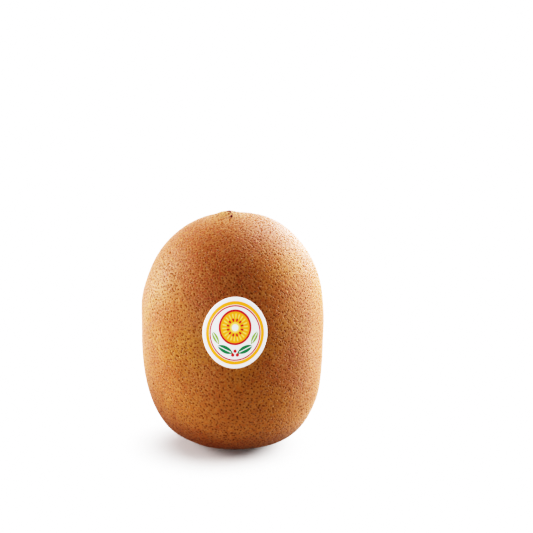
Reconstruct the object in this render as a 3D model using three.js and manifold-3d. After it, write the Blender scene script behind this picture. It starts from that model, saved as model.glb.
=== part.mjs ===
// A golden kiwi fruit that stands on its flat stem end, with a small round paper label on its side.
// Millimetres, +Z up. The origin is on the surface that the fruit stands on, under the middle of its
// bounding box, and -Y is the side with the label.
import * as THREE from "three";
import { mergeVertices } from "three/addons/utils/BufferGeometryUtils.js";
import Module from "manifold-3d";

// Driving dimensions of the fruit
const WIDTH = 54; // across the widest level, along X
const DEPTH_SHARE = 0.95; // the section is a slightly flattened circle
const CROWN = 32.75; // widest level up to the crown, without the blossom tip
const FOOT = 37; // widest level down to the stem end, before it is cut flat
const FLAT_CUT = 0.3; // how much the flat spot takes off the stem end
const CROWN_POWER = 2.2; // 2 is an ellipse, and more is squarer in the shoulder
const FOOT_POWER = 3.15;
const POWER_BLEND = 0.35; // how gently the crown's form turns into the foot's
const BOW = 0.75; // how far both ends lean towards +X

// Shallow lengthwise swellings: how many round the fruit, how high as a share of its radius, and where
const SWELLINGS = [
  { count: 3, share: 0.005, turn: 0.7 },
  { count: 5, share: 0.003, turn: 2.1 },
];

// The blossom end's low point, with the dried stubs of its styles. Each stub heads out at a turn in
// degrees, and its end stands so high above the plain crown.
const TIP = { x: -1.8, y: -0.6, height: 1, width: 2.9, pit: 0.35, pitWidth: 0.9 };
const STYLES = [
  { turn: 150, length: 1.9, endHeight: 1.1 },
  { turn: 275, length: 1.1, endHeight: 0.85 },
  { turn: 20, length: 1, endHeight: 0.95 },
  { turn: 80, length: 1.3, endHeight: 0.95 },
  { turn: 215, length: 0.9, endHeight: 0.9 },
];
const STYLE_THICKNESS = 0.62;
const STYLE_SINK = 0.5; // how deep each stub's root sits in the tip

// The stem end's scar: a sunk ring round a low woody plug
const SCAR = { radius: 4.4, plug: 2.3, depth: 1.1, plugDepth: 0.6 };

// The label, an ellipse laid on the front
const LABEL = {
  width: 18.4,
  height: 20.4,
  middle: 40.5,
  turn: 1.2,
  thickness: 0.3,
  gap: 0.12,
};

// Mesh fineness
const SIDES = 64;
const SIDE_RINGS = 30;
const TIP_RINGS = 9;
const TIP_ZONE = 0.16; // radians round the crown that the tip's rings cover
const SCAR_POINTS = 4; // points of the profile inside the scar's edge
const FLAT_RINGS = 3;
const LABEL_SIDES = 48;
const LABEL_RINGS = 4;

const wasm = await Module();
wasm.setup();

const RADIUS = WIDTH / 2;
const FLAT_LEVEL = FLAT_CUT - FOOT; // height of the resting surface from the widest level
const FRONT = -Math.PI / 2;

// Distance from the middle to the plain form, at an angle above (+) or below (-) the widest level.
function reach(angle) {
  const up = Math.sin(angle);
  const footness = 0.5 - 0.5 * Math.tanh(up / POWER_BLEND);
  const power = CROWN_POWER + (FOOT_POWER - CROWN_POWER) * footness;
  const height = CROWN + (FOOT - CROWN) * footness;
  const across = Math.pow(Math.cos(angle) / RADIUS, power);
  const along = Math.pow(Math.abs(up) / height, power);
  return Math.pow(across + along, -1 / power);
}

// Radius and height of the plain form's profile, with the height counted from the resting surface.
function profilePoint(angle) {
  const distance = reach(angle);
  return new THREE.Vector2(
    Math.max(distance * Math.cos(angle), 0),
    distance * Math.sin(angle) - FLAT_LEVEL,
  );
}

// Angle at which the plain form meets the resting surface.
function flatAngle() {
  let low = -Math.PI / 2;
  let high = -Math.PI / 4;
  for (let i = 0; i < 60; i++) {
    const middle = (low + high) / 2;
    if (profilePoint(middle).y < 0) low = middle;
    else high = middle;
  }
  return high;
}

// Turns a point of the round profile into one of the fruit: flattened, swollen, bowed and tipped.
function shapePoint(radius, turn, height) {
  const level = (height + FLAT_LEVEL) / ((CROWN + FOOT) / 2);
  const swelling = SWELLINGS.reduce(
    (sum, s) => sum + s.share * Math.cos(s.count * (turn - s.turn)),
    0,
  );
  const swollen = radius * (1 + swelling * (1 - level ** 4));
  const x = swollen * Math.cos(turn) + BOW * level * level;
  const y = swollen * Math.sin(turn) * DEPTH_SHARE;
  const away = (x - TIP.x) ** 2 + (y - TIP.y) ** 2;
  const tip =
    height > CROWN
      ? TIP.height * Math.exp(-away / TIP.width ** 2) -
        TIP.pit * Math.exp(-away / TIP.pitWidth ** 2)
      : 0;
  return new THREE.Vector3(x, y, height + tip);
}

// Outward normal of the fruit's skin at an angle and a turn.
function skinNormal(turn, angle) {
  const step = 1e-3;
  const at = (t, a) => {
    const p = profilePoint(a);
    return shapePoint(p.x, t, p.y);
  };
  const here = at(turn, angle);
  const round = at(turn + step, angle).sub(here);
  const up = at(turn, angle + step).sub(here);
  return round.cross(up).normalize();
}

// The profile from the scar's middle, over the flat spot and up the side, to the crown.
function fruitProfile() {
  const start = flatAngle();
  const flatRadius = profilePoint(start).x;
  const points = [
    new THREE.Vector2(0, SCAR.depth - SCAR.plugDepth),
    new THREE.Vector2(SCAR.plug * 0.6, SCAR.depth - SCAR.plugDepth * 0.85),
    new THREE.Vector2(SCAR.plug, SCAR.depth),
    new THREE.Vector2(SCAR.plug + (SCAR.radius - SCAR.plug) / 2, SCAR.depth * 0.6),
  ];
  for (let i = 0; i < FLAT_RINGS; i++) {
    const share = i / FLAT_RINGS;
    points.push(new THREE.Vector2(THREE.MathUtils.lerp(SCAR.radius, flatRadius, share), 0));
  }
  const tipStart = Math.PI / 2 - TIP_ZONE;
  for (let i = 0; i < SIDE_RINGS; i++) {
    // closer rings at the tight curve above the flat spot
    const share = Math.pow(i / SIDE_RINGS, 1.15);
    points.push(profilePoint(THREE.MathUtils.lerp(start, tipStart, share)));
  }
  for (let i = 0; i < TIP_RINGS; i++) {
    points.push(profilePoint(THREE.MathUtils.lerp(tipStart, Math.PI / 2, i / TIP_RINGS)));
  }
  points.push(new THREE.Vector2(0, profilePoint(Math.PI / 2).y));
  points[SCAR_POINTS + FLAT_RINGS].y = 0; // the side starts exactly on the resting surface
  return points;
}

// A plain closed mesh with only shared positions.
function closed(geometry) {
  geometry.deleteAttribute("normal");
  geometry.deleteAttribute("uv");
  return mergeVertices(geometry, 1e-4);
}

// Moves each vertex of a geometry to where place(vertex) says.
function reshape(geometry, place) {
  const position = geometry.getAttribute("position");
  const vertex = new THREE.Vector3();
  for (let i = 0; i < position.count; i++) {
    vertex.fromBufferAttribute(position, i);
    position.setXYZ(i, ...place(vertex).toArray());
  }
  return geometry;
}

function toSolid(geometry) {
  return new wasm.Manifold(
    new wasm.Mesh({
      numProp: 3,
      vertProperties: new Float32Array(geometry.getAttribute("position").array),
      triVerts: new Uint32Array(geometry.index.array),
    }),
  );
}

function toGeometry(solid) {
  const mesh = solid.getMesh();
  return new THREE.BufferGeometry()
    .setAttribute("position", new THREE.BufferAttribute(mesh.vertProperties, 3))
    .setIndex(new THREE.BufferAttribute(mesh.triVerts, 1));
}

// The body, turned as a lathe form and then shaped. LatheGeometry turns about Y, which becomes Z here.
function bodySolid() {
  const lathe = closed(new THREE.LatheGeometry(fruitProfile(), SIDES));
  lathe.rotateX(Math.PI / 2);
  return toSolid(
    reshape(lathe, (v) => shapePoint(Math.hypot(v.x, v.y), Math.atan2(v.y, v.x), v.z)),
  );
}

// One dried style: a thin three-sided taper that lies outwards from the tip, with its root sunk in.
function styleSolid({ turn, length, endHeight }) {
  const heading = THREE.MathUtils.degToRad(turn);
  const crownLevel = CROWN - FLAT_LEVEL;
  const tipTop = crownLevel + TIP.height - TIP.pit;
  const root = new THREE.Vector3(TIP.x, TIP.y, tipTop - STYLE_SINK);
  const end = new THREE.Vector3(
    TIP.x + length * Math.cos(heading),
    TIP.y + length * Math.sin(heading),
    crownLevel + endHeight,
  );
  const taper = new THREE.CylinderGeometry(
    STYLE_THICKNESS * 0.35,
    STYLE_THICKNESS * 0.65,
    root.distanceTo(end),
    3,
  );
  const along = end.clone().sub(root).normalize();
  const upright = new THREE.Vector3(0, 1, 0);
  taper.applyQuaternion(new THREE.Quaternion().setFromUnitVectors(upright, along));
  const middle = root.clone().lerp(end, 0.5);
  taper.translate(middle.x, middle.y, middle.z);
  return toSolid(closed(taper));
}

function fruitGeometry() {
  const solid = STYLES.reduce((sum, style) => sum.add(styleSolid(style)), bodySolid());
  return toGeometry(solid);
}

// Angle above the widest level at which the plain form reaches a height.
function angleAt(height) {
  let low = -Math.PI / 3;
  let high = Math.PI / 3;
  for (let i = 0; i < 60; i++) {
    const middle = (low + high) / 2;
    if (profilePoint(middle).y < height) low = middle;
    else high = middle;
  }
  return low;
}

// The label: a thin disc, laid on the skin so that it follows the fruit both ways.
function labelGeometry() {
  const outline = [new THREE.Vector2(0, 0)];
  for (let i = 1; i <= LABEL_RINGS; i++) {
    outline.push(new THREE.Vector2(i / LABEL_RINGS, 0));
  }
  for (let i = LABEL_RINGS; i >= 1; i--) {
    outline.push(new THREE.Vector2(i / LABEL_RINGS, 1));
  }
  outline.push(new THREE.Vector2(0, 1));
  const disc = closed(new THREE.LatheGeometry(outline, LABEL_SIDES));
  const halfTurn = LABEL.width / 2 / RADIUS;
  const middleTurn = FRONT + THREE.MathUtils.degToRad(LABEL.turn);
  return reshape(disc, (v) => {
    // the disc's own x, z and y are across, down and out
    const turn = middleTurn + v.x * halfTurn;
    const angle = angleAt(LABEL.middle - (v.z * LABEL.height) / 2);
    const p = profilePoint(angle);
    const skin = shapePoint(p.x, turn, p.y);
    const out = LABEL.gap + v.y * LABEL.thickness;
    return skin.addScaledVector(skinNormal(turn, angle), out);
  });
}

const skin = new THREE.MeshStandardMaterial({
  color: new THREE.Color(0.55, 0.32, 0.13),
  roughness: 0.62,
  metalness: 0,
});
const paper = new THREE.MeshStandardMaterial({
  color: new THREE.Color(0.9, 0.88, 0.84),
  roughness: 0.35,
  metalness: 0,
});

function named(name, geometry, material) {
  geometry.computeVertexNormals();
  const mesh = new THREE.Mesh(geometry, material);
  mesh.name = name;
  return mesh;
}

const kiwi = new THREE.Group();
kiwi.add(named("fruit", fruitGeometry(), skin));
kiwi.add(named("label", labelGeometry(), paper));

// the origin goes under the middle of the whole thing
const middle = new THREE.Box3().setFromObject(kiwi, true).getCenter(new THREE.Vector3());
for (const mesh of kiwi.children) mesh.position.set(-middle.x, -middle.y, 0);

export default kiwi;
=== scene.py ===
"""Golden kiwi fruit: a Blender add-on that dresses the fruit's frame, run as a script.

The fruit stands on its stem end, +Z up, in metres, and -Y is the side with the label.
"""

import math

import bpy
import numpy as np
from bpy.props import FloatProperty, FloatVectorProperty, IntProperty, PointerProperty
from mathutils import Matrix, Vector
from mathutils.kdtree import KDTree


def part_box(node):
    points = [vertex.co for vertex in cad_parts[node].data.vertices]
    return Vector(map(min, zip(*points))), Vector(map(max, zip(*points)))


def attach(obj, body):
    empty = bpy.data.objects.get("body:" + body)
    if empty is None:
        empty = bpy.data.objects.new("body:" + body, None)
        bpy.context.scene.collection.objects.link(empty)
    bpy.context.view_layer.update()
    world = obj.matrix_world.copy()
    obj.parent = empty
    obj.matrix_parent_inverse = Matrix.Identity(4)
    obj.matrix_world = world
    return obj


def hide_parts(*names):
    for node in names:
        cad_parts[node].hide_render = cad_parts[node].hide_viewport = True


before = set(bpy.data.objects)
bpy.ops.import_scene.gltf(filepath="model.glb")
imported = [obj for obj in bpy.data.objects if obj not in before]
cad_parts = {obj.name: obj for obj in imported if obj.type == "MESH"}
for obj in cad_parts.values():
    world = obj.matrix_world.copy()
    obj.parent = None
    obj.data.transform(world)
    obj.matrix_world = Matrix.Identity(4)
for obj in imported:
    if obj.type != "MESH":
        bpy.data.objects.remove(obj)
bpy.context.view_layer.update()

bl_info = {
    "name": "Golden Kiwi Fruit",
    "version": (1, 0, 0),
    "blender": (4, 5, 0),
    "location": "3D View > Sidebar > Kiwi",
    "description": "Builds a golden kiwi fruit with its dotted skin, blossom tip, stem scar and label",
    "category": "Add Mesh",
}

MM = 0.001
FULL_TURN = 2 * math.pi
GOLDEN_ANGLE = math.pi * (3 - math.sqrt(5))
FRONT = -math.pi / 2
FRAME_PIXELS = 533
TONE_STEPS = 12
CLEAR = 0.02 * MM  # the least height of dots and hairs above the surface the fruit stands on
SCAR_EDGE = 0.62  # where the stem scar's ring is at its deepest, as a share of its radius


# ---------------- settings


def length(name, description, millimetres):
    """A length property; it is stored in metres and given here in millimetres."""
    fixed = {"subtype": "DISTANCE", "unit": "LENGTH", "precision": 5}
    return FloatProperty(name=name, description=description, default=millimetres * MM, **fixed)


def degrees(name, description, default):
    """An angle property; it is stored in radians and given here in degrees."""
    fixed = {"subtype": "ANGLE", "unit": "ROTATION"}
    return FloatProperty(name=name, description=description, default=math.radians(default), **fixed)


def amount(name, description, default, low=0.0, high=1.0):
    fixed = {"subtype": "FACTOR", "min": low, "max": high}
    return FloatProperty(name=name, description=description, default=default, **fixed)


def pixels(name, description, default):
    fixed = {"subtype": "PIXEL", "min": 0, "max": FRAME_PIXELS}
    return FloatProperty(name=name, description=description, default=default, **fixed)


def count(name, description, default):
    return IntProperty(name=name, description=description, default=default, min=0)


def colour(name, description, default):
    """A colour property, in linear light."""
    fixed = {"size": 3, "min": 0, "max": 1, "subtype": "COLOR"}
    return FloatVectorProperty(name=name, description=description, default=default, **fixed)


class KiwiForm(bpy.types.PropertyGroup):
    """The plain form of the fruit."""

    width: length("Width", "Across the widest level, along X", 54)
    depth_share: amount("Depth share", "Depth along Y as a share of the width", 0.95)
    crown: length("Crown", "Widest level up to the crown, without the tip", 32.75)
    foot: length("Foot", "Widest level down to the stem end, before it is cut flat", 37)
    flat_cut: length("Flat cut", "Depth that the flat spot takes off the stem end", 0.3)
    crown_power: amount("Crown power", "2 is an ellipse, more is squarer", 2.2, 1, 6)
    foot_power: amount("Foot power", "2 is an ellipse, more is squarer", 3.15, 1, 6)
    power_blend: amount("Power blend", "How gently the crown turns into the foot", 0.35)
    bow: length("Bow", "How far both ends lean towards +X", 0.75)
    tip_x: length("Tip X", "Place of the blossom tip along X", -1.8)
    tip_y: length("Tip Y", "Place of the blossom tip along Y", -0.6)
    tip_height: length("Tip height", "How far the blossom tip stands up", 1)
    tip_width: length("Tip width", "Reach of the blossom tip's slope", 2.9)
    pit_depth: length("Pit depth", "Depth of the pit in the blossom tip", 0.35)
    pit_width: length("Pit width", "Reach of the pit in the blossom tip", 0.9)
    scar_radius: length("Scar radius", "Radius of the stem scar's sunk ring", 4.4)
    scar_depth: length("Scar depth", "Depth of the stem scar's ring", 1.1)


class KiwiSkin(bpy.types.PropertyGroup):
    """The dotted skin."""

    net: count("Net", "Squares along each side of the skin's net", 128)
    swell: length("Swell", "Height of the broad, soft unevenness", 0.11)
    peel: length("Peel", "Height of the fine, even relief", 0.01)
    pucker: length("Pucker", "Height of the creases round the blossom tip", 0.07)
    pore_depth: length("Pore depth", "How deep the skin dips at a dot", 0.085)
    pore_width: length("Pore width", "Reach of the dip at a dot", 0.36)
    dots: count("Dots", "Number of cork dots", 8600)
    dot_radius: length("Dot radius", "Radius of a usual cork dot", 0.32)
    dot_rise: length("Dot rise", "How far a dot stands out of its dip", 0.055)
    fine_gap: length("Fine gap", "Spacing of the fine dots between the cork dots", 0.8)
    # the fine pale flecks are painted glints, as of tiny bumps catching the light
    glint_gap: length("Fleck gap", "Spacing of the fine pale flecks", 0.62)
    ochre: colour("Ochre", "Main colour of the skin", (0.455, 0.111, 0.0165))
    golden: colour("Golden", "Colour of the yellower patches", (0.53, 0.19, 0.0145))
    # painted fill light: the lower sides get a lighter colour in place of light from the front
    painted_fill_light: colour("Amber", "Colour of the lighter lower sides", (0.635, 0.183, 0.034))
    russet: colour("Russet", "Colour of the redder patches and upper sides", (0.32, 0.053, 0.0125))
    # brown of the stem end, made darker still near the floor as painted shade
    rust_brown_and_shade: colour("Rusty", "Deep colour of the skin round the stem end", (0.09, 0.015, 0.0105))
    # how high the painted fill light on the lower sides reaches
    painted_fill_light_reach: length("Amber reach", "Height up to which the lower sides are lighter", 38)
    high_start: length("High start", "Height at which the upper sides begin to redden", 38)
    high_end: length("High end", "Height at which the upper sides are reddest", 62)
    # the next five settings place that brown and painted shade: a low band that thins out underneath and
    # reaches higher on the -X flank
    shade_edge_reach: length("Edge reach", "Height up to which the rusty lower edge shows", 12)
    under_radius: length("Under radius", "Reach of the paler skin round the stem scar", 12)
    shade_flank_slope: amount("Flank slope", "How much lower a place counts for each step towards -X", 0.8)
    shade_flank_start: length("Flank start", "Counted height at which the -X flank begins to rust", 10)
    shade_flank_end: length("Flank end", "Counted height at which the -X flank is rustiest", -14)
    # a painted highlight round the blossom tip: how far it reaches, then its pale colour
    tip_highlight_reach: length("Tip reach", "Reach of the pale dry skin round the blossom tip", 4.5)
    pale: colour("Pale", "Colour of the dry skin round the blossom tip", (0.75, 0.43, 0.17))
    # pale colour of the finest relief, also used for the painted glints
    bloom_and_glint: colour("Bloom", "Pale dusty colour of the finest relief", (0.68, 0.298, 0.094))
    cork: colour("Cork", "Colour of the dots", (0.24, 0.066, 0.003))
    # dots at the stem end, darkened with the same painted shade
    dot_brown_and_shade: colour("Dusk", "Colour of the dots round the stem end", (0.05, 0.007, 0.004))
    sheen: amount("Sheen", "Strength of the pale edge that the down gives", 0.1)


class KiwiDown(bpy.types.PropertyGroup):
    """The sparse, very short hairs."""

    hairs: count("Hairs", "Number of hairs", 9000)
    hair_length: length("Hair length", "Length of a usual hair", 0.42)
    hair_width: length("Hair width", "Width of a hair's root", 0.035)
    hair_colour: colour("Hair colour", "Colour of the hairs", (0.5, 0.27, 0.12))


class KiwiTip(bpy.types.PropertyGroup):
    """The dried styles at the blossom tip."""

    strands: count("Strands", "Number of fine dried styles", 11)
    strand_length: length("Strand length", "Length of a usual fine style", 0.9)
    strand_radius: length("Strand radius", "Radius of a fine style", 0.07)
    dried: colour("Dried", "Colour of the dried styles", (0.1, 0.015, 0.013))
    dried_pale: colour("Dried, pale", "Colour of their paler streaks", (0.16, 0.04, 0.025))


class KiwiScar(bpy.types.PropertyGroup):
    """The torn stem scar underneath."""

    plug_radius: length("Plug radius", "Radius of the woody plug", 2.4)
    plug_height: length("Plug height", "How far the plug stands out of the ring", 0.55)
    bristles: count("Bristles", "Number of stiff hairs round the scar", 420)
    bristle_length: length("Bristle length", "Length of a usual bristle", 1.1)
    wood: colour("Wood", "Colour of the woody plug", (0.16, 0.085, 0.045))
    bark: colour("Bark", "Colour of the scar's dark ring", (0.055, 0.024, 0.012))


class KiwiLabel(bpy.types.PropertyGroup):
    """The paper label and its plain generic print."""

    width: length("Width", "Width of the label along the skin", 18.4)
    height: length("Height", "Height of the label", 20.4)
    middle: length("Middle", "Height of the label's middle above the surface", 40.5)
    turn: degrees("Turn", "Turn of the label round the fruit, away from the front", 1.2)
    gap: length("Gap", "Space between the skin and the label's back", 0.12)
    thickness: length("Thickness", "Thickness of the paper", 0.11)
    lift: length("Lift", "How far the loosest edge stands up", 0.1)
    paper: colour("Paper", "Colour of the bare paper", (0.86, 0.87, 0.89))
    gold: colour("Gold", "Colour of the printed ring and of the cut fruit", (0.95, 0.31, 0.006))
    pale_gold: colour("Pale gold", "Colour of the rays in the cut fruit", (0.97, 0.62, 0.12))
    red: colour("Red", "Colour of the thin ring, rim, seeds and berries", (0.43, 0.006, 0.01))
    dark_leaf: colour("Dark leaf", "Colour of the darker leaves", (0.0, 0.12, 0.034))
    light_leaf: colour("Light leaf", "Colour of the lighter leaves", (0.18, 0.32, 0.035))
    # painted light: the whole label glows faintly in its own colours to stay white
    painted_glow: amount("Brightener", "Light that the paper's whitener gives back", 0.36)


class KiwiStage(bpy.types.PropertyGroup):
    """The pale floor, the studio lights and the camera."""

    floor_radius: length("Floor radius", "Radius of the pale floor", 6000)
    floor_colour: colour("Floor colour", "Colour of the floor", (0.93, 0.885, 0.87))
    shade_x: length("Shade X", "Middle of the shaded part of the floor along X", -4.5)
    shade_y: length("Shade Y", "Middle of the shaded part of the floor along Y", -4)
    floor_fade: length("Floor fade", "Distance from that middle where the floor thins", 10)
    floor_end: length("Floor end", "Distance where the floor has melted away", 30)
    light_distance: length("Light distance", "Distance of the lights from the fruit", 1000)
    light_size: length("Light size", "Width and height of each light", 550)
    sky: amount("Sky", "Brightness of the surroundings", 1.0, 0, 10)
    elevation: degrees("Elevation", "How far the camera looks down on the fruit", 16)
    distance: length("Distance", "Camera to the point it is aimed by", 441.4)
    toe: amount("Toe", "Above 1 deepens the dark tones of the picture", 1.5, 1, 3)
    shoulder: amount("Shoulder", "The smaller, the softer the bright tones roll off", 0.1, 0.01, 10)
    lens: FloatProperty(name="Lens", description="Focal length", default=100, min=1, unit="CAMERA")
    aim_height: length("Aim height", "Height of the point that the camera is aimed by", 35)
    aim_x: pixels("Aim X", "Pixel column of that point", 233)
    aim_y: pixels("Aim Y", "Pixel row of that point", 327)


SETTINGS = {
    "kiwi_form": KiwiForm,
    "kiwi_skin": KiwiSkin,
    "kiwi_down": KiwiDown,
    "kiwi_tip": KiwiTip,
    "kiwi_scar": KiwiScar,
    "kiwi_label": KiwiLabel,
    "kiwi_stage": KiwiStage,
}


# ---------------- the fruit's form


class Fruit:
    """The fruit's surface. Angles go up from the widest level and turns go round the axis, in radians,
    as arrays of one length."""

    swellings = ((3, 0.005, 0.7), (5, 0.003, 2.1))  # how many round, share of the radius, turn

    def __init__(self, form):
        self.form = form
        self.radius = form.width / 2
        self.flat_level = form.flat_cut - form.foot
        self.axis = np.zeros(3)
        turns, angles = np.meshgrid(np.linspace(0, FULL_TURN, 257), np.linspace(-1, 1, 65))
        sides = self.place(angles.ravel(), turns.ravel())
        low, high = (np.array(corner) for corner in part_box("fruit"))
        offset = (low + high) / 2 - (sides.min(0) + sides.max(0)) / 2
        self.axis = offset * (1, 1, 0)
        self.start = self.flat_angle()
        self.flat_radius = self.profile(np.array([self.start]))[0][0]

    def reach(self, angle):
        """Distance from the middle to the plain form."""
        form = self.form
        up = np.sin(angle)
        footness = 0.5 - 0.5 * np.tanh(up / form.power_blend)
        power = form.crown_power + (form.foot_power - form.crown_power) * footness
        height = form.crown + (form.foot - form.crown) * footness
        across = np.maximum(np.cos(angle), 0) / self.radius
        return (across**power + (np.abs(up) / height) ** power) ** (-1 / power)

    def profile(self, angle):
        """Radius, and height above the resting surface, of the plain form."""
        distance = self.reach(angle)
        return distance * np.cos(angle), distance * np.sin(angle) - self.flat_level

    def flat_angle(self):
        """Angle at which the plain form meets the resting surface."""
        angles = np.linspace(-math.pi / 2, -math.pi / 4, 4001)
        return float(np.interp(0, self.profile(angles)[1], angles))

    def angle_at(self, height):
        """Angles of the sides at an array of heights."""
        angles = np.linspace(self.start, 1.2, 4001)
        return np.interp(height, self.profile(angles)[1], angles)

    def shape(self, radius, turn, height):
        """A point of the round profile as one of the fruit: flattened, swollen, bowed and tipped."""
        form = self.form
        level = (height + self.flat_level) / ((form.crown + form.foot) / 2)
        swelling = sum(part * np.cos(number * (turn - at)) for number, part, at in self.swellings)
        swollen = radius * (1 + swelling * (1 - level**4))
        x = swollen * np.cos(turn) + form.bow * level**2
        y = swollen * np.sin(turn) * form.depth_share
        away = (x - form.tip_x) ** 2 + (y - form.tip_y) ** 2
        tip = form.tip_height * np.exp(-away / form.tip_width**2)
        tip -= form.pit_depth * np.exp(-away / form.pit_width**2)
        z = height + np.where(height > form.crown, tip, 0)
        return np.stack([x, y, z], axis=-1) + self.axis

    def place(self, angle, turn):
        radius, height = self.profile(angle)
        return self.shape(radius, turn, height)

    def normal(self, angle, turn):
        """Outward normals of the skin."""
        step = 1e-3
        inward = np.where(angle > 0, -step, step)  # keeps the steps on this side of both poles
        here = self.place(angle, turn)
        round_ = self.place(angle, turn + step) - here
        up = (self.place(angle + inward, turn) - here) * np.sign(inward)[:, None]
        across = np.cross(round_, up)
        size = np.linalg.norm(across, axis=-1, keepdims=True)
        return across / np.maximum(size, 1e-18)

    def crown_point(self, x, y):
        """The point of the skin above x, y near the blossom tip, given from the form's own axis."""
        radius = math.hypot(x, y)
        turn = math.atan2(y, x)
        angles = np.linspace(0.9, math.pi / 2, 2001)
        radii, heights = self.profile(angles)
        height = np.interp(-radius, -radii, heights)
        return self.shape(np.array([radius]), np.array([turn]), np.array([height]))[0]

    def foot_bow(self):
        """How far the bow takes the stem end off the axis, along X."""
        form = self.form
        return form.bow * (self.flat_level * 2 / (form.crown + form.foot)) ** 2

    def sunk(self, radius):
        """How far the stem scar's ring is sunk at distances from the foot's middle, as a share."""
        edge = self.form.scar_radius
        return ease(radius, edge, edge * SCAR_EDGE)


def ripple(points, wavelength, seed):
    """Smooth seeded relief of about -1 to 1: a sum of plane waves in random directions."""
    waves = 36
    draw = np.random.default_rng(seed)
    directions = unit(draw.normal(size=(waves, 3)))
    numbers = FULL_TURN / wavelength * draw.uniform(0.7, 1.4, (waves, 1))
    phases = draw.uniform(0, FULL_TURN, waves)
    return np.cos(points @ (directions * numbers).T + phases).sum(1) * math.sqrt(0.5 / waves)


def ease(value, low, high):
    """0 at low, 1 at high, and a smooth step between; low may be the larger."""
    t = np.clip((value - low) / (high - low), 0, 1)
    return t * t * (3 - 2 * t)


def unit(vectors):
    return vectors / np.linalg.norm(vectors, axis=1, keepdims=True)


def tangents(normals, headings):
    """Unit vectors along the skin, as near to the headings as they get, and those square to them."""
    side = unit(headings - (headings * normals).sum(1, keepdims=True) * normals)
    return side, np.cross(normals, side)


# ---------------- meshes


def mesh_object(name, points, faces, material, **attributes):
    """A smooth-shaded object. faces is a list of index arrays, each of triangles or of squares, and
    an attribute holds a number or a vector for each point."""
    mesh = bpy.data.meshes.new(name)
    mesh.from_pydata(points.tolist(), [], [face for part in faces for face in part.tolist()])
    mesh.shade_smooth()
    for label, values in attributes.items():
        kind, key = ("FLOAT_VECTOR", "vector") if np.ndim(values) == 2 else ("FLOAT", "value")
        attribute = mesh.attributes.new(label, kind, "POINT")
        attribute.data.foreach_set(key, np.ascontiguousarray(values, dtype=np.float32).ravel())
    mesh.materials.append(material)
    mesh.update()
    if mesh.validate():
        raise RuntimeError(f"{name} had faulty faces")
    piece = bpy.data.objects.new(name, mesh)
    bpy.context.scene.collection.objects.link(piece)
    return piece


def around(sides):
    """The numbers of a ring's points, those of their neighbours, and the points' turns."""
    first = np.arange(sides)
    return first, (first + 1) % sides, first / sides * FULL_TURN


def bands(sides, times, start=0):
    """The squares between rings of points that follow each other."""
    first, after, _ = around(sides)
    band = np.stack([first, first + sides, after + sides, after], 1) + start
    return np.concatenate([band + ring * sides for ring in range(times)])


def fan(hub, sides, start):
    """The triangles from one point to a ring of points."""
    first, after, _ = around(sides)
    return np.stack([np.full(sides, hub), first + start, after + start], 1)


def disc_net(levels, sides):
    """A flat disc of rings at the given levels: x and y of its points, its squares and its middle."""
    turns = around(sides)[2]
    x, y = (np.concatenate([[0], np.outer(levels, wave(turns)).ravel()]) for wave in (np.cos, np.sin))
    return x, y, bands(sides, len(levels) - 1, 1), fan(0, sides, 1)


def ball_net(steps):
    """Directions of an even net of squares over a ball, and the squares."""
    line = np.tan(np.linspace(-1, 1, steps + 1) * math.pi / 4)
    a, b = (grid.ravel() for grid in np.meshgrid(line, line, indexing="ij"))
    corner = np.arange((steps + 1) ** 2).reshape(steps + 1, steps + 1)
    ring = np.stack([corner[:-1, :-1], corner[1:, :-1], corner[1:, 1:], corner[:-1, 1:]], -1)
    points, squares = [], []
    for side in range(6):
        axis, sign = side % 3, 1 if side < 3 else -1
        face = np.empty((len(a), 3))
        face[:, axis] = sign
        face[:, (axis + 1) % 3] = a
        face[:, (axis + 2) % 3] = b
        points.append(face)
        squares.append(ring.reshape(-1, 4)[:, ::sign] + side * len(a))
    points = np.concatenate(points)
    shared = {"axis": 0, "return_index": True, "return_inverse": True}
    _, first, index = np.unique(np.round(points, 6), **shared)
    return unit(points[first]), index.ravel()[np.concatenate(squares)]


def many(name, points, faces, shade, material):
    """One object of many like closed pieces: points has a row of them for each piece, faces are those
    of one piece, and shade has a value for each."""
    times, each = points.shape[:2]
    points[..., 2] = np.maximum(points[..., 2], CLEAR)
    starts = (np.arange(times) * each)[:, None, None]
    faces = [(np.array(part)[None] + starts).reshape(-1, np.array(part).shape[1]) for part in faces]
    return mesh_object(name, points.reshape(-1, 3), faces, material, shade=np.repeat(shade, each))


# ---------------- materials


def maths(operation, turned=False):
    """An operator between a Value and a number or another Value; a turned one takes the other first."""

    def work(self, other):
        return self.math(operation, *((other, self) if turned else (self, other)))

    return work


class Value:
    """A number in a shader that plain maths can be written with."""

    def __init__(self, shader, socket):
        self.shader = shader
        self.socket = socket

    def math(self, operation, *values):
        return self.shader.value("ShaderNodeMath", {"operation": operation}, dict(enumerate(values)))

    __add__ = maths("ADD")
    __sub__ = maths("SUBTRACT")
    __mul__ = maths("MULTIPLY")
    __truediv__ = maths("DIVIDE")
    __pow__ = maths("POWER")
    __radd__ = maths("ADD", turned=True)
    __rsub__ = maths("SUBTRACT", turned=True)
    __rmul__ = maths("MULTIPLY", turned=True)
    __rtruediv__ = maths("DIVIDE", turned=True)
    __rpow__ = maths("POWER", turned=True)
    largest = maths("MAXIMUM")

    def __abs__(self):
        return self.math("ABSOLUTE", self)

    def step(self, low, high):
        """0 at low, 1 at high, and a smooth step between; low may be the larger."""
        settings = {"interpolation_type": "SMOOTHSTEP"}
        return self.shader.value("ShaderNodeMapRange", settings, {0: self, 1: low, 2: high})


def distance_of(x, y):
    return (x * x + y * y) ** 0.5


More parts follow.
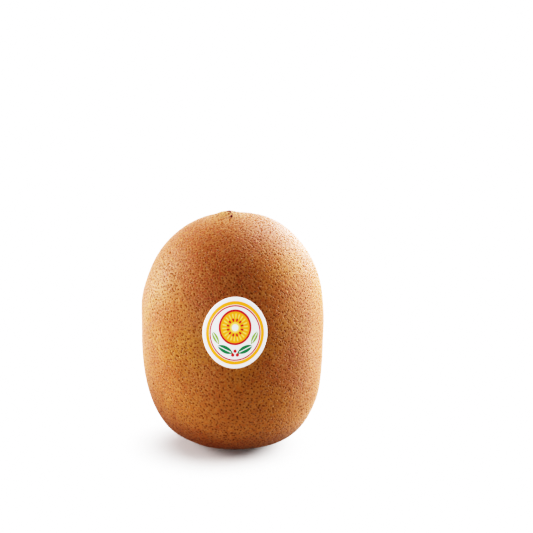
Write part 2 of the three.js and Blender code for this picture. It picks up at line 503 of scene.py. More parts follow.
class Shader:
    """The node tree of one material."""

    def __init__(self, name):
        self.material = bpy.data.materials.new(name)
        self.material.use_nodes = True
        self.tree = self.material.node_tree
        self.tree.nodes.clear()

    def node(self, kind, settings=None, sockets=None):
        """Adds a node. Its settings are set first, then its sockets, by name or number."""
        node = self.tree.nodes.new(kind)
        for name, setting in (settings or {}).items():
            setattr(node, name, setting)
        for name, value in (sockets or {}).items():
            socket = getattr(value, "socket", value)
            if isinstance(socket, bpy.types.NodeSocket):
                self.tree.links.new(socket, node.inputs[name])
            elif hasattr(socket, "__len__") and node.inputs[name].type == "RGBA":
                node.inputs[name].default_value = (*socket, 1)
            else:
                node.inputs[name].default_value = socket
        return node

    def value(self, kind, settings=None, sockets=None, output=0):
        return Value(self, self.node(kind, settings, sockets).outputs[output])

    def place(self):
        """The point's own place on the object, in metres."""
        return self.node("ShaderNodeTexCoord").outputs["Object"]

    def attribute(self, name, output="Fac"):
        return self.value("ShaderNodeAttribute", {"attribute_name": name}, output=output)

    def split(self, vector):
        node = self.node("ShaderNodeSeparateXYZ", sockets={0: vector})
        return [Value(self, socket) for socket in node.outputs]

    def noise(self, scale, detail=2, roughness=0.5, distortion=0):
        """Soft noise; its scale is the number of blots in a metre."""
        sockets = {"Scale": scale, "Detail": detail, "Roughness": roughness, "Distortion": distortion}
        sockets["Vector"] = self.place()
        return self.value("ShaderNodeTexNoise", sockets=sockets)

    def cells(self, gap, output="Distance"):
        """Distance from scattered points as a share of their gap, or each point's own chance colour."""
        sockets = {"Vector": self.place(), "Scale": 1 / gap}
        return self.value("ShaderNodeTexVoronoi", sockets=sockets, output=output)

    def coats(self, colour, *coats):
        """The colour under coats of other colours, each given with how far it covers, from 0 to 1."""
        for ink, cover in coats:
            node = self.node("ShaderNodeMix", {"data_type": "RGBA"}, {0: cover, 6: colour, 7: ink})
            colour = node.outputs[2]
        return colour

    def finish(self, colour, roughness, relief=None, matte=None, others=None):
        """Closes the tree with a Principled surface and returns the material. relief gives the bumps'
        texture, height and strength, and where matte is 1 the surface has no gloss."""
        sockets = {"Base Color": colour, "Roughness": roughness, **(others or {})}
        if relief:
            bumps = dict(zip(("Height", "Distance", "Strength"), relief))
            sockets["Normal"] = self.node("ShaderNodeBump", sockets=bumps).outputs[0]
        surface = self.node("ShaderNodeBsdfPrincipled", sockets=sockets).outputs[0]
        if matte:
            dull = {**sockets, "Specular IOR Level": 0.0}
            other = self.node("ShaderNodeBsdfPrincipled", sockets=dull).outputs[0]
            surface = self.node("ShaderNodeMixShader", sockets={0: matte, 1: surface, 2: other}).outputs[0]
        self.node("ShaderNodeOutputMaterial", sockets={"Surface": surface})
        return self.material


def stem_brown_and_shade_mask(skin, across, along, height):
    """How far the stem end's reddish brown and the painted shade near the floor cover a place: a band,
    which reaches higher on the -X flank and thins out underneath."""
    flank = (height + across * skin.shade_flank_slope).step(skin.shade_flank_start, skin.shade_flank_end)
    edge = height.step(skin.shade_edge_reach, 0)
    under = distance_of(across, along).step(skin.under_radius, skin.under_radius / 2)
    return (1 - (1 - flank) * (1 - edge)) * (1 - under * 0.7)


def skin_material(form, skin):
    """Dull ochre skin with golden and russet patches, a darker halo at each dot and fine pale grain with
    painted glints, lighter lower sides of painted fill light, a painted highlight round the blossom tip
    and painted shade at the stem end.
    """
    shader = Shader("dotted kiwi skin")
    across, along, height = shader.split(shader.place())
    pore = shader.attribute("pore")
    # the stem end's brown with painted shade near the floor
    foot = stem_brown_and_shade_mask(skin, across, along, height)

    # broad parts: the lower sides lighter with painted fill light, the upper sides redder, and the very
    # top a little less so
    low = (height + abs(across) * 0.6).step(skin.painted_fill_light_reach, skin.painted_fill_light_reach / 2)
    level = height - abs(across) * 0.5 - across * 0.15
    high = level.step(skin.high_start, skin.high_end) * 0.9
    high -= level.step(skin.high_end, form.foot * 2) * 0.35

    # patches from broad to fine, then cells of fine dots and of pale flecks that are painted glints
    patches = shader.noise(55, detail=3, roughness=0.55)
    blotches = shader.noise(130, detail=4, roughness=0.6)
    blots = shader.noise(280, detail=3, roughness=0.6)
    mottle = shader.noise(620, detail=3, roughness=0.6)
    grain = shader.noise(2600, detail=2, roughness=0.6)
    fine = shader.cells(skin.fine_gap)
    chance = shader.cells(skin.fine_gap, output="Color").step(0.25, 0.75)
    glint_flecks = shader.cells(skin.glint_gap).step(0.45, 0.15)
    ring = pore.step(0.02, 0.2) * pore.step(0.65, 0.35)
    # dots at the stem end darkened with painted shade
    deep = shader.coats(skin.cork, (skin.dot_brown_and_shade, foot))

    colour = shader.coats(
        skin.ochre,
        (skin.golden, patches.step(0.44, 0.62) * 0.8),
        (skin.russet, blotches.step(0.46, 0.72) * 0.5),
        # painted fill light on the lower sides
        (skin.painted_fill_light, low * 0.8),
        (skin.russet, high),
        # painted highlight round the blossom tip
        (skin.pale, shader.attribute("crown") * 0.8),
        (skin.bloom_and_glint, mottle.step(0.5, 0.78) * 0.55),
        (skin.russet, mottle.step(0.5, 0.25) * 0.38),
        (skin.russet, blots.step(0.5, 0.7) * 0.35),
        (skin.bloom_and_glint, blots.step(0.48, 0.3) * 0.2),
        (skin.bloom_and_glint, grain.step(0.5, 0.8) * 0.35),
        # painted glints
        (skin.bloom_and_glint, glint_flecks * 0.7),
        (skin.bloom_and_glint, ring * 0.3),
        # brown and painted shade at the stem end
        (skin.rust_brown_and_shade, foot * 0.88),
        (deep, fine.step(0.52, 0.14) * chance * 0.7),
        (deep, pore * 0.6),
    )
    relief = fine.step(0.1, 0.36) * 0.6 + grain * 0.12 + mottle * 0.12
    sheen = {"Sheen Weight": skin.sheen, "Sheen Roughness": 0.3, "Sheen Tint": (1.0, 0.78, 0.5)}
    return shader.finish(
        colour,
        0.42 + mottle * 0.1 + grain * 0.06,
        relief=(relief, 0.32 * MM, 0.9),
        matte=foot,
        others={**sheen, "Specular IOR Level": 0.18},
    )


def cork_material(skin):
    """Dark rust-brown cork, a little different on each dot, and darkened with painted shade at the stem
    end.
    """
    shader = Shader("rusty cork dots")
    grain = shader.noise(3200)
    # the dots at the stem end get the painted shade too
    foot = stem_brown_and_shade_mask(skin, *shader.split(shader.place()))
    faint = shader.attribute("shade") * 0.8 + grain.step(0.5, 0.8) * 0.15
    colour = shader.coats(skin.cork, (skin.russet, faint), (skin.dot_brown_and_shade, foot * 0.9))
    relief = (grain, 0.05 * MM, 0.6)
    return shader.finish(colour, 0.62 + grain * 0.12, relief, others={"Specular IOR Level": 0.05})


def down_material(down):
    """Short dull hairs, each of its own darkness."""
    shader = Shader("short dull down")
    shade = shader.attribute("shade")
    dark = [part * 0.35 for part in down.hair_colour]
    colour = shader.coats(down.hair_colour, (dark, shade))
    return shader.finish(colour, 0.55 + shade * 0.2, others={"Sheen Weight": 0.3})


def dried_material(name, dry, pale):
    """Dried plant fibre with lengthwise streaks."""
    shader = Shader(name)
    streaks = shader.noise(2400, detail=3, roughness=0.65)
    paleness = shader.attribute("shade") * 0.35 + streaks.step(0.5, 0.75) * 0.4
    colour = shader.coats(dry, (pale, paleness))
    relief = (streaks, 0.08 * MM, 0.8)
    return shader.finish(colour, 0.55 + streaks * 0.25, relief, others={"Specular IOR Level": 0.1})


def wood_material(scar):
    """The plug's torn wood: pale fibres in rays, with a darker rim."""
    shader = Shader("torn woody plug")
    streaks = shader.noise(1500, detail=4, roughness=0.7, distortion=0.6)
    grooves = streaks.step(0.42, 0.62) * 0.7
    colour = shader.coats(scar.wood, (scar.bark, grooves), (scar.bark, shader.attribute("rim")))
    return shader.finish(colour, 0.7 + streaks * 0.2, relief=(streaks, 0.15 * MM, 0.9))


# ---------------- the label's print


def leaf_mask(x, y, at, heading, half_length, half_width):
    """Masks of a pointed leaf and of its midrib, from two overlapping circles."""
    cosine, sine = math.cos(heading), math.sin(heading)
    along = (x - at[0]) * cosine + (y - at[1]) * sine
    across = (y - at[1]) * cosine - (x - at[0]) * sine
    offset = (half_length**2 - half_width**2) / (2 * half_width)
    radius = offset + half_width
    outside = distance_of(along, across + offset).largest(distance_of(along, across - offset))
    rib = abs(across).step(0.018, 0.006) * along.step(half_length * 0.8, half_length * 0.7)
    return outside.step(radius + 0.006, radius - 0.006), rib


def label_material(label):
    """Satin paper with a plain print: a cut fruit in gold, two pairs of leaves, and red rings and dots. It
    glows faintly in its own colours, painted light that keeps it white.
    """
    shader = Shader("printed label paper")
    x, y, _ = shader.split(shader.attribute("print_place", "Vector"))
    edge = distance_of(x, y)
    colour = shader.coats(
        label.paper,
        (label.gold, edge.step(0.895, 0.88) * edge.step(0.785, 0.8)),
        (label.red, edge.step(0.785, 0.775) * edge.step(0.735, 0.745)),
    )

    # the cut fruit: a red rim, gold flesh with paler rays, a pale core and a ring of seeds
    up = y - 0.17
    distance = distance_of(x, up)
    turn = up.math("ARCTAN2", up, x)
    rays = turn.math("SINE", turn * 22).step(-0.1, 0.8) * distance.step(0.2, 0.3)
    seeds, seed_ring, seed_length, seed_width = 12, 0.215, 0.05, 0.028
    place = turn * (seeds / FULL_TURN) + seeds
    aside = (place.math("FRACT", place) - 0.5) * (FULL_TURN / seeds * seed_ring) / seed_width
    out = (distance - seed_ring) / seed_length
    colour = shader.coats(
        colour,
        (label.red, distance.step(0.505, 0.49)),
        (label.gold, distance.step(0.445, 0.43)),
        (label.pale_gold, rays * distance.step(0.41, 0.36)),
        (label.pale_gold, distance.step(0.17, 0.13)),
        (label.paper, distance.step(0.105, 0.085)),
        (label.red, (aside * aside + out * out).step(1.15, 0.8)),
    )

    # a dark and a light leaf on each side below it, and three berries between them
    for side in (-1, 1):
        for ink, at, heading, size in (
            (label.dark_leaf, (0.3 * side, -0.455), -0.42, (0.26, 0.105)),
            (label.light_leaf, (0.59 * side, -0.13), -1.05, (0.21, 0.075)),
        ):
            leaf, rib = leaf_mask(x, y, at, heading if side < 0 else math.pi - heading, *size)
            colour = shader.coats(colour, (ink, leaf), (label.paper, leaf * rib))
    for berry_x, berry_y in ((0.0, -0.5), (-0.07, -0.61), (0.07, -0.61)):
        berry = distance_of(x - berry_x, y - berry_y).step(0.06, 0.044)
        colour = shader.coats(colour, (label.red, berry))

    fibre = shader.noise(3000, detail=3)
    # painted glow: the paper gives off light in its print's colours
    painted_white_glow = {"Emission Color": colour, "Emission Strength": label.painted_glow}
    satin = {"Specular IOR Level": 0.15, "Coat Weight": 0.1, "Coat Roughness": 0.18}
    relief = (fibre, 0.02 * MM, 0.4)
    return shader.finish(colour, 0.3 + fibre * 0.08, relief, others={**painted_white_glow, **satin})


# ---------------- shapes of the pieces


class Surface:
    """The finished skin: the fruit's form with its dots' places and its relief."""

    def __init__(self, form, skin):
        self.fruit = Fruit(form)
        self.form = form
        self.skin = skin
        self.dots = self.spread(skin.dots, seed=11, jitter=0.2)
        self.tree = KDTree(len(self.dots[0]))
        for index, point in enumerate(self.fruit.place(*self.dots)):
            self.tree.insert(point, index)
        self.tree.balance()

    def spread(self, number, seed, jitter, end_crowd=0.9):
        """Angles and turns spread evenly over the skin in a golden spiral, closer near both ends."""
        draw = np.random.default_rng(seed)
        angles = np.linspace(self.fruit.start, math.pi / 2, 3001)
        radius, height = self.fruit.profile(angles)
        belt = np.hypot(np.diff(radius), np.diff(height)) * (radius[1:] + radius[:-1]) / 2
        middle = (angles[1:] + angles[:-1]) / 2
        crowd = 1 + end_crowd * np.abs(np.sin(middle)) ** 6
        area = np.concatenate([[0], np.cumsum(belt * crowd)])
        order = (np.arange(number) + 0.5) / number
        angle = np.interp(order * area[-1], area, angles)
        turn = np.arange(number) * GOLDEN_ANGLE
        spacing = math.sqrt(FULL_TURN * area[-1] / number)
        reach = np.maximum(self.fruit.reach(angle), MM)
        slack = jitter * spacing
        angle = angle + draw.normal(size=number) * slack / reach
        turn = turn + draw.normal(size=number) * slack / np.maximum(reach * np.cos(angle), 2 * spacing)
        return np.clip(angle, self.fruit.start, math.pi / 2 - 1e-4), turn % FULL_TURN

    def from_tip(self, points):
        """The points' offsets from the blossom tip, seen from above."""
        return points[:, :2] - (np.array([self.form.tip_x, self.form.tip_y]) + self.fruit.axis[:2])

    def relief(self, points, angle):
        """How far the skin stands out of the plain form, without the dips at its dots."""
        skin = self.skin
        out = skin.swell * ripple(points, 13 * MM, seed=3)
        out += skin.peel * ripple(points, 1.9 * MM, seed=4)
        x, y = self.from_tip(points).T
        creases, middle, width, waver = 15, 2.4 * MM, 1.8 * MM, ripple(points, 3 * MM, seed=5) * 2
        crease = np.cos(np.arctan2(y, x) * creases + waver)
        reach = np.exp(-(((np.hypot(x, y) - middle) / width) ** 2)) * (angle > 0)
        return out + skin.pucker * reach * crease

    def crown(self, points, angle):
        """Where the painted highlight round the blossom tip lies: 1 at the tip, fading to 0 some
        millimetres away.
        """
        away = np.hypot(*self.from_tip(points).T)
        return np.exp(-((away / self.skin.tip_highlight_reach) ** 2)) * (angle > 0)

    def lifted(self, angle, turn, lift):
        """Points a little above or below the skin between its dots, with their normals."""
        plain = self.fruit.place(angle, turn)
        normals = self.fruit.normal(angle, turn)
        height = self.relief(plain, angle) + lift
        return plain + normals * height[:, None], normals

    def dip(self, points):
        """Nearness to a dot, from 1 on it to 0 away from it."""
        away = np.array([self.tree.find(point)[2] for point in points])
        return np.exp(-((away / self.skin.pore_width) ** 2))


def build_skin(surface):
    """The whole skin in one net, flat where it stands and sunk at the stem scar."""
    fruit, form, skin = surface.fruit, surface.form, surface.skin
    directions, squares = ball_net(skin.net)
    angle = np.arcsin(np.clip(directions[:, 2], -1, 1))
    turn = np.arctan2(directions[:, 1], directions[:, 0])
    standing = angle < fruit.start
    side_angle = np.maximum(angle, fruit.start)
    radius, height = fruit.profile(side_angle)
    # below the sides the net runs in over the flat spot
    inward = np.cos(angle) / math.cos(fruit.start)
    radius = np.where(standing, fruit.flat_radius * np.minimum(inward, 1), radius)
    plain = fruit.shape(radius, turn, np.where(standing, 0, height))
    normals = fruit.normal(np.clip(side_angle, fruit.start, math.pi / 2 - 1e-3), turn)
    normals[standing] = (0, 0, -1)
    pore = surface.dip(plain)
    pore[standing] = 0
    out = surface.relief(plain, angle) - skin.pore_depth * pore
    out *= ease(height, 0, 1.5 * MM)
    points = plain + normals * out[:, None]
    points[:, 2] += form.scar_depth * (fruit.sunk(radius) * standing)
    points[:, 2] = np.maximum(points[:, 2], 0)
    # where the painted highlight round the blossom tip lies
    crown = surface.crown(plain, angle)
    return mesh_object("skin", points, [squares], skin_material(form, skin), pore=pore, crown=crown)


def build_dots(surface):
    """Low cork dots with uneven outlines, each set in its dip in the skin."""
    skin = surface.skin
    draw = np.random.default_rng(21)
    centres, normals = surface.lifted(*surface.dots, -skin.pore_depth)
    number, sides = len(centres), 6
    strong = draw.random(number) ** 1.3  # few dots are large and dark, most are small and faint
    size = skin.dot_radius * (0.6 + 0.85 * strong)
    along, across = tangents(normals, draw.normal(size=(number, 3)))
    stretch = draw.uniform(1.0, 1.35, number)
    uneven = draw.uniform(0.82, 1.15, (number, sides))
    first, after, spokes = around(sides)

    def raised(level):
        """How far the dots stand out at a share of their height."""
        return normals * (skin.dot_rise * level * (0.6 + 0.4 * size / skin.dot_radius))[:, None]

    rings = []
    for reach, level in ((1.1, -0.8), (0.72, 0.6)):
        x = np.cos(spokes) * uneven * reach * (size * stretch)[:, None]
        y = np.sin(spokes) * uneven * reach * (size / stretch)[:, None]
        flat = centres[:, None] + x[..., None] * along[:, None] + y[..., None] * across[:, None]
        rings.append(flat + raised(level)[:, None])
    points = np.concatenate([*rings, (centres + raised(1))[:, None]], axis=1)
    walls = np.stack([first, after, after + sides, first + sides], 1)
    faces = [walls, fan(2 * sides, sides, sides)[:, [1, 2, 0]], first[::-1][None]]
    faint = (1 - strong) * draw.uniform(0.6, 1.0, number) + 0.3 * ease(centres[:, 2], 56 * MM, 70 * MM)
    return many("cork_dots", points, faces, np.minimum(faint, 1), cork_material(skin))


def blades(name, roots, headings, sizes, widths, material, seed):
    """Slim closed hairs of three sides, each bent once; headings are unit vectors."""
    draw = np.random.default_rng(seed)
    number = len(roots)
    side, front = tangents(headings, draw.normal(size=(number, 3)))
    bend = side * (sizes * draw.uniform(0.05, 0.3, number))[:, None]
    layers = []
    for level, width in ((0.0, 1.0), (0.55, 0.8)):
        middle = roots + headings * (sizes * level)[:, None] + bend * level**2
        for corner in around(3)[2]:
            spoke = side * math.cos(corner) + front * math.sin(corner)
            layers.append(middle + spoke * (widths * width / 2)[:, None])
    layers.append(roots + headings * sizes[:, None] + bend)
    faces = [
        [(0, 1, 4, 3), (1, 2, 5, 4), (2, 0, 3, 5)],
        [(3, 4, 6), (4, 5, 6), (5, 3, 6), (2, 1, 0)],
    ]
    return many(name, np.stack(layers, axis=1), faces, draw.random(number), material)


def build_down(surface, down):
    """Very short hairs all over, lying mostly along the skin and thicker at both ends."""
    draw = np.random.default_rng(31)
    angle, turn = surface.spread(down.hairs, seed=32, jitter=0.8, end_crowd=3)
    keep = surface.fruit.profile(angle)[1] > 2.2 * MM
    roots, normals = surface.lifted(angle[keep], turn[keep], -0.05 * MM)
    number = len(roots)
    along, _ = tangents(normals, draw.normal(size=(number, 3)) + (0, 0, 1.2))
    headings = unit(normals * draw.uniform(0.25, 0.8, number)[:, None] + along)
    sizes = down.hair_length * draw.uniform(0.5, 1.4, number)
    widths = down.hair_width * draw.uniform(0.7, 1.2, number)
    return blades("short_down", roots, headings, sizes, widths, down_material(down), 33)


def tube(path, radii, sides):
    """Points and faces of a closed tapering tube along a path, starting flat and ending in a point."""
    path = np.asarray(path)
    ahead = unit(np.gradient(path, axis=0))
    side, up = tangents(ahead, np.tile((0.3, 0.2, 1.0), (len(path), 1)))
    first, _, spokes = around(sides)
    spokes = spokes[:, None]
    rings = side[:-1, None] * np.cos(spokes) + up[:-1, None] * np.sin(spokes)
    rings = path[:-1, None] + rings * radii[:-1, None, None]
    points = np.concatenate([rings.reshape(-1, 3), path[-1:]])
    wall = bands(sides, len(path) - 2)[:, [0, 3, 2, 1]]
    point = fan(len(points) - 1, sides, (len(path) - 2) * sides)[:, [1, 2, 0]]
    return points, [wall, point, first[::-1][None]]


def join_parts(name, parts, material, shades):
    """One object from several closed parts, with one shade value for each."""
    points, faces, shade, start = [], [], [], 0
    for (part_points, part_faces), tone in zip(parts, shades):
        points.append(part_points)
        faces.extend(face + start for face in part_faces)
        shade.append(np.full(len(part_points), tone))
        start += len(part_points)
    return mesh_object(name, np.concatenate(points), faces, material, shade=np.concatenate(shade))


THICK_STYLES = (
    # heading in degrees, start, length and radius in millimetres, and curl
    (-72, 0.0, 1.8, 0.28, 0.05),
    (130, -0.75, 2.0, 0.26, 0.05),
    (28, 0.2, 1.0, 0.12, 0.8),
    (-79, 3.5, 0.8, 0.38, 0.0),
)


def build_tip(surface, tip):
    """Dried styles that curl out of the blossom tip's pit and lie on the skin round it."""
    form, fruit = surface.form, surface.fruit
    draw = np.random.default_rng(41)
    strands = [
        (math.radians(heading), start * MM, size * MM, radius * MM, curl)
        for heading, start, size, radius, curl in THICK_STYLES
    ]
    for strand in range(tip.strands):
        size = tip.strand_length * draw.uniform(0.5, 1.15)
        heading = strand * GOLDEN_ANGLE + draw.uniform(-0.3, 0.3)
        radius = tip.strand_radius * draw.uniform(0.7, 1.3)
        strands.append((heading, 0.12 * MM, size, radius, draw.uniform(-0.9, 0.9)))
    parts, steps = [], 10
    for heading, start, size, radius, curl in strands:
        path = []
        for t in np.linspace(0, 1, steps):
            way = heading + curl * t
            out = start + size * t
            point = fruit.crown_point(form.tip_x + out * math.cos(way), form.tip_y + out * math.sin(way))
            point[2] += radius * (1.1 * math.sin(math.pi * min(0.15 + t, 1)) - 0.5)
            path.append(point)
        swell = np.sin(np.linspace(0.9, math.pi, steps)) ** 0.6
        parts.append(tube(path, radius * np.maximum(swell, 0.15), 7))
    material = dried_material("dried styles", tip.dried, tip.dried_pale)
    return join_parts("dried_styles", parts, material, draw.random(len(parts)))


def build_scar(surface, scar):
    """The woody plug in the stem scar, in rays round a broken middle."""
    draw = np.random.default_rng(51)
    rings, sides = 26, 96
    first, after, turns = around(sides)
    middle = surface.fruit.axis + (surface.fruit.foot_bow(), 0, 0)
    jag = draw.uniform(-1, 1, (rings, sides))
    points, rim = [], []
    for ring in range(rings):
        t = ring / (rings - 1)
        reach = scar.plug_radius * t
        rays = np.cos(turns * 17 + 2 * np.sin(turns * 3 + t * 4))
        crater = 0.35 * math.exp(-((t / 0.35) ** 2))
        dome = scar.plug_height * (1 - t**6 - crater)
        rough = (0.05 * rays * t + 0.035 * jag[ring]) * MM * (1 - t**8)
        level = surface.form.scar_depth + 0.25 * MM * t**12 - dome - rough
        wave = 1 + 0.03 * np.cos(turns * 5 + 1) + 0.02 * np.cos(turns * 9)
        x = middle[0] + reach * wave * np.cos(turns)
        y = middle[1] + reach * wave * np.sin(turns)
        points.append(np.stack([x, y, level], 1))
        rim.append(np.full(sides, ease(t, 0.72, 0.95)))
    # the innermost ring becomes the one point at the hub, behind the others
    hub = (rings - 1) * sides
    centre = (*middle[:2], points[0][:, 2].mean())
    points = np.concatenate([*points[1:], [centre]])
    points[:, 2] = np.maximum(points[:, 2], 0.1 * MM)
    back = points[hub - sides : hub] + (0, 0, 0.3 * MM)
    points = np.concatenate([points, back])
    outer = first + hub - sides
    wall = np.stack([outer, first + hub + 1, after + hub + 1, after + hub - sides], 1)
    squares = np.concatenate([bands(sides, rings - 2), wall])
    faces = [squares, fan(hub, sides, 0), (first + hub + 1)[None]]
    rim = np.concatenate([*rim[1:], [0], np.ones(sides)])
    return mesh_object("stem_plug", points, faces, wood_material(scar), rim=rim)


def build_bristles(surface, scar):
    """Stiff brown hairs that lean in over the stem scar's ring, clear of the resting surface."""
    form, fruit = surface.form, surface.fruit
    draw = np.random.default_rng(61)
    number = scar.bristles
    turns = draw.uniform(0, FULL_TURN, number)
    cosine, sine, zero = np.cos(turns), np.sin(turns), np.zeros(number)
    reach = draw.uniform(0.68, 0.93, number) * form.scar_radius
    roots = fruit.axis + np.stack([fruit.foot_bow() + reach * cosine, reach * sine, zero], 1)
    roots[:, 2] = form.scar_depth * fruit.sunk(reach) + 0.1 * MM
    sizes = scar.bristle_length * draw.uniform(0.5, 1.1, number)
    inward, side = -np.stack([cosine, sine, zero], 1), np.stack([-sine, cosine, zero], 1)
    headings = unit(inward + side * draw.normal(size=(number, 1)) * 0.7)
    room = np.minimum(roots[:, 2] - 0.15 * MM, 0.5 * MM)
    headings[:, 2] = -np.maximum(room, 0) / sizes * draw.uniform(0.2, 1, number)
    material = dried_material("stem scar bristles", scar.bark, scar.wood)
    widths = np.full(number, 0.07 * MM)
    return blades("scar_bristles", roots, unit(headings), sizes, widths, material, 62)


def build_label(surface, label):
    """A thin oval of paper laid on the skin, following its unevenness and a little loose at one edge."""
    fruit = surface.fruit
    rings, sides = 44, 160
    x, y, squares, middle = disc_net(np.arange(1, rings + 1) / rings, sides)
    turn = FRONT + label.turn + x * label.width / 2 / fruit.radius
    angle = fruit.angle_at(label.middle + y * label.height / 2)
    plain = fruit.place(angle, turn)
    normals = fruit.normal(angle, turn)
    out = np.hypot(x, y)
    loose = ease(out, 0.82, 1.0) * (0.35 + 0.65 * ease(-0.6 * x - 0.8 * y, 0.1, 0.95))
    low = surface.relief(plain, angle) * 0.8 + label.gap + label.lift * loose
    high = low + label.thickness * (0.35 + 0.65 * ease(out, 1.0, 0.985))
    points = np.concatenate([plain + normals * high[:, None], plain + normals * low[:, None]])
    first, after, _ = around(sides)
    half = len(x)
    last = 1 + (rings - 1) * sides
    rim = np.stack([first + last, first + last + half, after + last + half, after + last], 1)
    faces = [squares, squares[:, ::-1] + half, rim, middle, middle[:, ::-1] + half]
    place = np.tile(np.stack([x, y, 0 * x], 1), (2, 1))
    return mesh_object("paper_label", points, faces, label_material(label), print_place=place)


# ---------------- the stage


LIGHTS = (
    # name, azimuth from the camera's side and elevation in degrees, watts
    ("left softbox", -105, 15, 6.1),
    ("front left reflector", -45, 0, 2.55),
    ("back left reflector", -120, 0, 1.9),
    ("right softbox", 120, 25, 5.9),
    ("high back softbox", 135, 50, 5.1),
    ("back softbox", 150, 15, 4.0),
    ("low right reflector", 105, 0, 2.1),
    ("right reflector", 90, 0, 1.1),
    ("floor glow", 105, -15, 1.5),
)


def build_floor(stage):
    """A wide, pale, faintly mottled disc that melts into the surroundings."""
    rings, sides = 24, 96
    x, y, squares, middle = disc_net((np.arange(1, rings + 1) / rings) ** 3 * stage.floor_radius, sides)
    shader = Shader("pale studio floor")
    grain = shader.noise(900)
    darker = [0.98 * part for part in stage.floor_colour]
    across, along, _ = shader.split(shader.place())
    away = distance_of(across - stage.shade_x, along - stage.shade_y)
    colour = shader.coats(stage.floor_colour, (darker, grain))
    fade = {"Alpha": away.step(stage.floor_end, stage.floor_fade)}
    material = shader.finish(colour, 0.75 + grain * 0.1, others=fade)
    return mesh_object("floor", np.stack([x, y, 0 * x], 1), [squares, middle], material)


def add_object(name, data):
    thing = bpy.data.objects.new(name, data)
    bpy.context.scene.collection.objects.link(thing)
    return thing


def build_lights(stage, centre):
    """Square lights at one distance, all pointed at the fruit."""
    for name, azimuth, elevation, watts in LIGHTS:
        lamp = bpy.data.lights.new(name, "AREA")
        lamp.size = stage.light_size
        lamp.energy = watts
        thing = add_object(name, lamp)
        turn, rise = FRONT + math.radians(azimuth), math.radians(elevation)
        flat = math.cos(rise)
        heading = Vector((flat * math.cos(turn), flat * math.sin(turn), math.sin(rise)))
        thing.location = centre + heading * stage.light_distance
        thing.rotation_euler = (centre - thing.location).to_track_quat("-Z", "Y").to_euler()


def build_camera(stage, axis):
    """A camera that looks down on the fruit, turned so that its aim point falls on the asked pixel."""
    camera = bpy.data.cameras.new("camera")
    camera.lens = stage.lens
    camera.clip_start = 10 * MM
    focal = stage.lens / camera.sensor_width * FRAME_PIXELS
    target = Vector((axis[0], axis[1], stage.aim_height))
    cosine, sine = math.cos(stage.elevation), math.sin(stage.elevation)
    right, up, ahead = Vector((1, 0, 0)), Vector((0, sine, cosine)), Vector((0, cosine, -sine))
    wanted = Vector((stage.aim_x - FRAME_PIXELS / 2, FRAME_PIXELS / 2 - stage.aim_y, focal)).normalized()
    yaw = math.atan2(wanted.x, wanted.z)
    pitch = math.asin(wanted.y)
    turned = Matrix.Rotation(yaw, 3, "Y") @ Matrix.Rotation(-pitch, 3, "X") @ Matrix((right, up, ahead))
    rotation = Matrix((turned[0], turned[1], -turned[2])).transposed().to_4x4()
    thing = add_object("camera", camera)
    thing.matrix_world = Matrix.Translation(target - ahead * stage.distance) @ rotation
    bpy.context.scene.camera = thing


def build_world(stage):
    """White surroundings that are only seen and mirrored: the lights do the lighting."""
    world = bpy.data.worlds.new("pale surroundings")
    world.use_nodes = True
    background = world.node_tree.nodes["Background"]
    background.inputs["Color"].default_value = (1, 1, 1, 1)
    background.inputs["Strength"].default_value = stage.sky
    bpy.context.scene.world = world
    for ray in ("diffuse", "transmission", "scatter"):
        setattr(world.cycles_visibility, ray, False)


def set_tone(stage):
    """An S-shaped tone curve, as on film: deep warm darks, soft highlights and a clean white."""
    view = bpy.context.scene.view_settings
    view.view_transform = "Standard"
    view.use_curve_mapping = True
    points = view.curve_mapping.curves[3].points
    for step in range(1, TONE_STEPS):
        light = (step / TONE_STEPS) ** 2
        bent = light**stage.toe
        points.new(light, (1 + stage.shoulder) * bent / (bent + stage.shoulder))
    view.curve_mapping.update()


# ---------------- operators


def surface_of(context):
    return Surface(context.scene.kiwi_form, context.scene.kiwi_skin)


class KIWI_OT_skin(bpy.types.Operator):
    """Grow the dotted skin, which stands for the fruit"""

    bl_idname = "kiwi.skin"
    bl_label = "Skin"

    def execute(self, context):
        piece = build_skin(surface_of(context))
        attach(piece, "root")
        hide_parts("fruit")
        return {"FINISHED"}


class KIWI_OT_dots(bpy.types.Operator):
    """Set the cork dots in the skin"""

    bl_idname = "kiwi.dots"
    bl_label = "Cork Dots"

    def execute(self, context):
        piece = build_dots(surface_of(context))
        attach(piece, "root")
        return {"FINISHED"}


class KIWI_OT_down(bpy.types.Operator):
    """Grow the short down on the skin"""

    bl_idname = "kiwi.down"
    bl_label = "Down"

    def execute(self, context):
        piece = build_down(surface_of(context), context.scene.kiwi_down)
        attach(piece, "root")
        return {"FINISHED"}


class KIWI_OT_tip(bpy.types.Operator):
    """Add the dried styles at the blossom tip"""

    bl_idname = "kiwi.tip"
    bl_label = "Dried Styles"

    def execute(self, context):
        piece = build_tip(surface_of(context), context.scene.kiwi_tip)
        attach(piece, "root")
        return {"FINISHED"}


class KIWI_OT_scar(bpy.types.Operator):
    """Add the woody plug and the bristles of the stem scar"""

    bl_idname = "kiwi.scar"
    bl_label = "Stem Scar"

    def execute(self, context):
        surface = surface_of(context)
        scar = context.scene.kiwi_scar
        for piece in (build_scar(surface, scar), build_bristles(surface, scar)):
            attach(piece, "root")
        return {"FINISHED"}


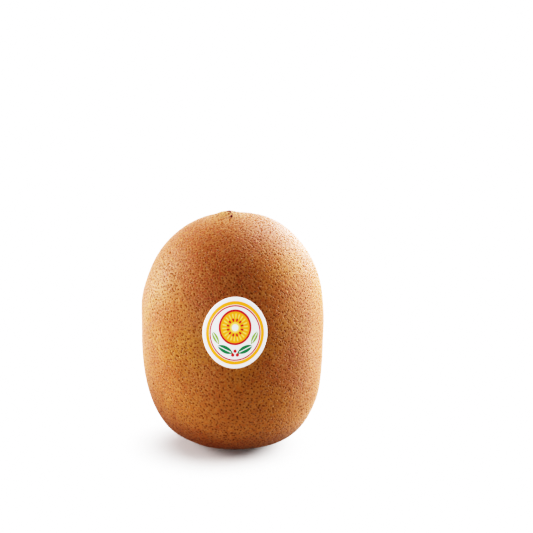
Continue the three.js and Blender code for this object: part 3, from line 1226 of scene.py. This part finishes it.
class KIWI_OT_label(bpy.types.Operator):
    """Lay the printed paper label on the front"""

    bl_idname = "kiwi.label"
    bl_label = "Label"

    def execute(self, context):
        piece = build_label(surface_of(context), context.scene.kiwi_label)
        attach(piece, "root")
        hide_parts("label")
        return {"FINISHED"}


class KIWI_OT_stage(bpy.types.Operator):
    """Set up the floor, the lights, the surroundings and the camera"""

    bl_idname = "kiwi.stage"
    bl_label = "Stage"

    def execute(self, context):
        stage = context.scene.kiwi_stage
        axis = Fruit(context.scene.kiwi_form).axis
        build_floor(stage)
        build_lights(stage, Vector((axis[0], axis[1], stage.aim_height)))
        build_world(stage)
        build_camera(stage, axis)
        set_tone(stage)
        return {"FINISHED"}


OPERATORS = (
    KIWI_OT_skin,
    KIWI_OT_dots,
    KIWI_OT_down,
    KIWI_OT_tip,
    KIWI_OT_scar,
    KIWI_OT_label,
    KIWI_OT_stage,
)


class KIWI_PT_panel(bpy.types.Panel):
    """Lists the fruit's settings and the steps that build it"""

    bl_idname = "KIWI_PT_panel"
    bl_label = "Golden Kiwi Fruit"
    bl_space_type = "VIEW_3D"
    bl_region_type = "UI"
    bl_category = "Kiwi"

    def draw(self, context):
        for name, group in SETTINGS.items():
            box = self.layout.box()
            box.label(text=group.__doc__)
            for setting in group.__annotations__:
                box.prop(getattr(context.scene, name), setting)
        for operator in OPERATORS:
            self.layout.operator(operator.bl_idname)


CLASSES = (*SETTINGS.values(), *OPERATORS, KIWI_PT_panel)


def register():
    for item in CLASSES:
        bpy.utils.register_class(item)
    for name, group in SETTINGS.items():
        setattr(bpy.types.Scene, name, PointerProperty(type=group))


def unregister():
    for name in SETTINGS:
        delattr(bpy.types.Scene, name)
    for item in reversed(CLASSES):
        bpy.utils.unregister_class(item)


def main():
    register()
    bpy.ops.kiwi.skin()
    bpy.ops.kiwi.dots()
    bpy.ops.kiwi.down()
    bpy.ops.kiwi.tip()
    bpy.ops.kiwi.scar()
    bpy.ops.kiwi.label()
    bpy.ops.kiwi.stage()


if __name__ == "__main__":
    main()
